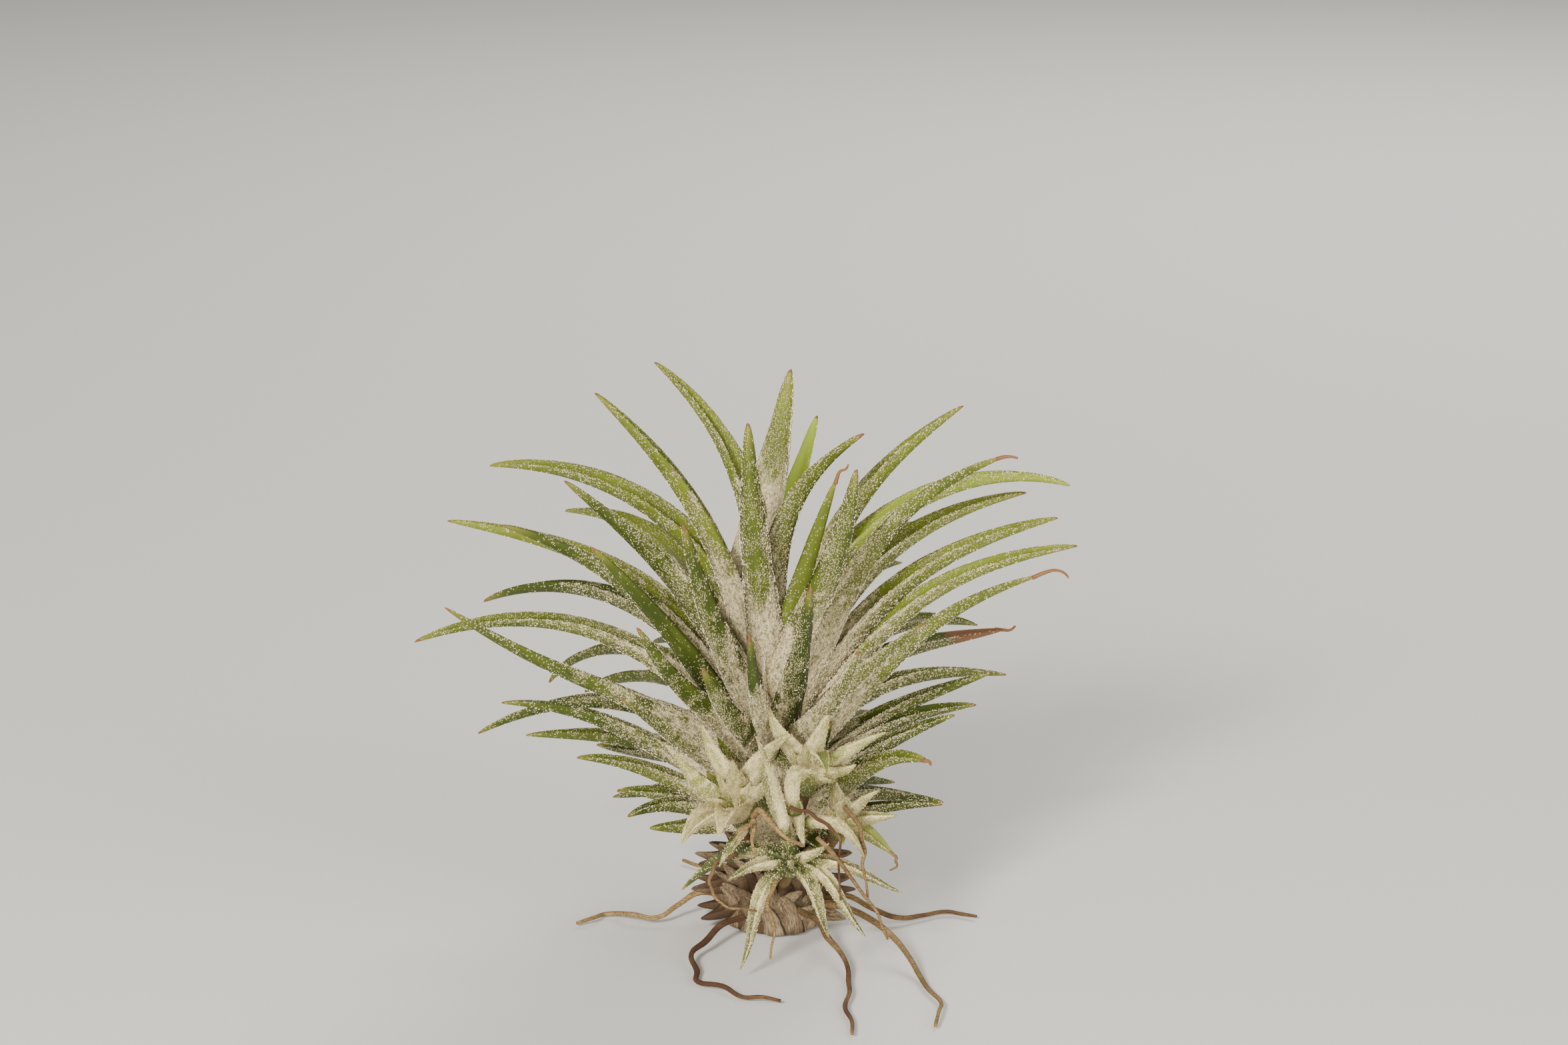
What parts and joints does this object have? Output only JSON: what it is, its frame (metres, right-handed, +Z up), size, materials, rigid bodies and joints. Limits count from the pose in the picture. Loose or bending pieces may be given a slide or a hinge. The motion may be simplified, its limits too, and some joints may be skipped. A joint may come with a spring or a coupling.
{
  "type": "sky plant",
  "caption": "Small stemless air plant: a rosette of stiff, channelled, tapering scaly leaves with young offsets and wiry roots at its foot, standing on a flat surface.",
  "frame": {"origin": "middle of the flat spot under the stem, on the surface that the plant stands on", "axes": "+Z up, the plant's shortest extent; the side that is seen faces -Y, with +X to its right"},
  "size_m": [0.0901, 0.0884, 0.0767],
  "materials": {
    "leaf": "matte green leaf under silvery white scales",
    "offset_leaf": "matte pale silvery green, densely scaled",
    "dry_stem": "matte dry brown fibre"
  },
  "bodies": {
    "root": {"rosette": "leaf", "stem": "dry_stem", "offset_left": "offset_leaf", "offset_right": "offset_leaf", "offset_front": "offset_leaf", "offset_side": "offset_leaf"}
  },
  "joints": []
}
